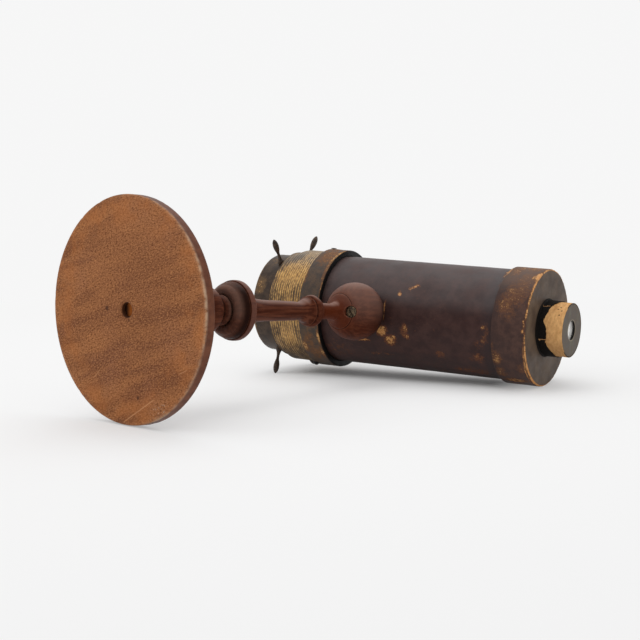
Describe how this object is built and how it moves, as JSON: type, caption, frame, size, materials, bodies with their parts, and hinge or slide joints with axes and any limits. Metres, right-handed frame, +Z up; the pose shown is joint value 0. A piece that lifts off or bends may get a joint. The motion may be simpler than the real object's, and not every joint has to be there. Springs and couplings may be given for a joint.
{
  "type": "kaleidoscope",
  "caption": "Parlour kaleidoscope: leather-covered barrel with a spoked cell that spins and an eyepiece, swivelling on a turned wooden stand, lying on its side.",
  "frame": {"origin": "centre of the footprint on the table, with the object lying on its side", "axes": "+Z up; +Y from the base of the stand toward the barrel; +X close to the barrel's line, toward the eyepiece"},
  "size_m": [0.2532, 0.3198, 0.136],
  "materials": {
    "base_wood": "bare turned wood, worn, underside",
    "stand_wood": "dark stained and waxed",
    "pasteboard": "bare rolled pasteboard",
    "leather": "thin dark leather, rubbed",
    "gilt_leather": "gilt, with fine turned lines, rubbed",
    "black_paper": "black paper with a torn edge",
    "black_board": "board blackened all over",
    "tinned_iron": "tarnished",
    "clear_glass": "polished",
    "ground_glass": "ground on one side",
    "mirror": "silvered glass strip",
    "block_wood": "bare",
    "black_wood": "painted black, worn through to tan",
    "spoke_brass": "dark patina",
    "screw_iron": "rusted dark",
    "glass_red": "coloured, broken edges",
    "glass_blue": "coloured, broken edges",
    "glass_amber": "coloured, broken edges",
    "glass_green": "coloured, broken edges",
    "glass_violet": "coloured, broken edges",
    "glass_turquoise": "coloured, broken edges",
    "glass_orange": "coloured, broken edges",
    "glass_white": "coloured, broken edges"
  },
  "bodies": {
    "stand": {"base_disc": "base_wood", "pillar": "stand_wood"},
    "barrel": {"barrel_tube": "pasteboard", "barrel_cover": "leather", "gilt_band": "gilt_leather", "collar": "leather", "collar_pin": "leather", "collar_pin_lower": "leather", "eye_cap": "leather", "eyepiece_card": "pasteboard", "eyepiece_paper": "black_paper", "eye_disc": "tinned_iron", "eye_lens": "clear_glass", "mirror_left": "mirror", "mirror_right": "mirror", "blackened_board": "black_board", "front_plug": "pasteboard", "eye_plug": "pasteboard", "screw_block": "block_wood", "barrel_screw": "screw_iron"},
    "cell": {"cell_drum": "black_wood", "clear_glass": "clear_glass", "cell_spacer": "pasteboard", "ground_glass": "ground_glass", "cell_bezel": "black_wood", "spoke_1": "spoke_brass", "spoke_2": "spoke_brass", "spoke_3": "spoke_brass", "spoke_4": "spoke_brass", "spoke_5": "spoke_brass", "spoke_6": "spoke_brass", "glass_chip_1": "glass_red", "glass_chip_2": "glass_blue", "glass_chip_3": "glass_amber", "glass_chip_4": "glass_green", "glass_chip_5": "glass_violet", "glass_chip_6": "glass_turquoise", "glass_chip_7": "glass_orange", "glass_chip_8": "glass_white"}
  },
  "joints": [
    {"name": "barrel_swivel", "type": "hinge", "parent": "stand", "child": "barrel", "pos_m": [-0.00514, 0.03455, 0.05269], "axis": [-0.0048, 0.9939, -0.1102], "range_deg": [-45, 45]},
    {"name": "cell_spin", "type": "hinge", "parent": "barrel", "child": "cell", "pos_m": [-0.01207, 0.1033, 0.04536], "axis": [0.999, 0, -0.0439], "continuous": true}
  ]
}
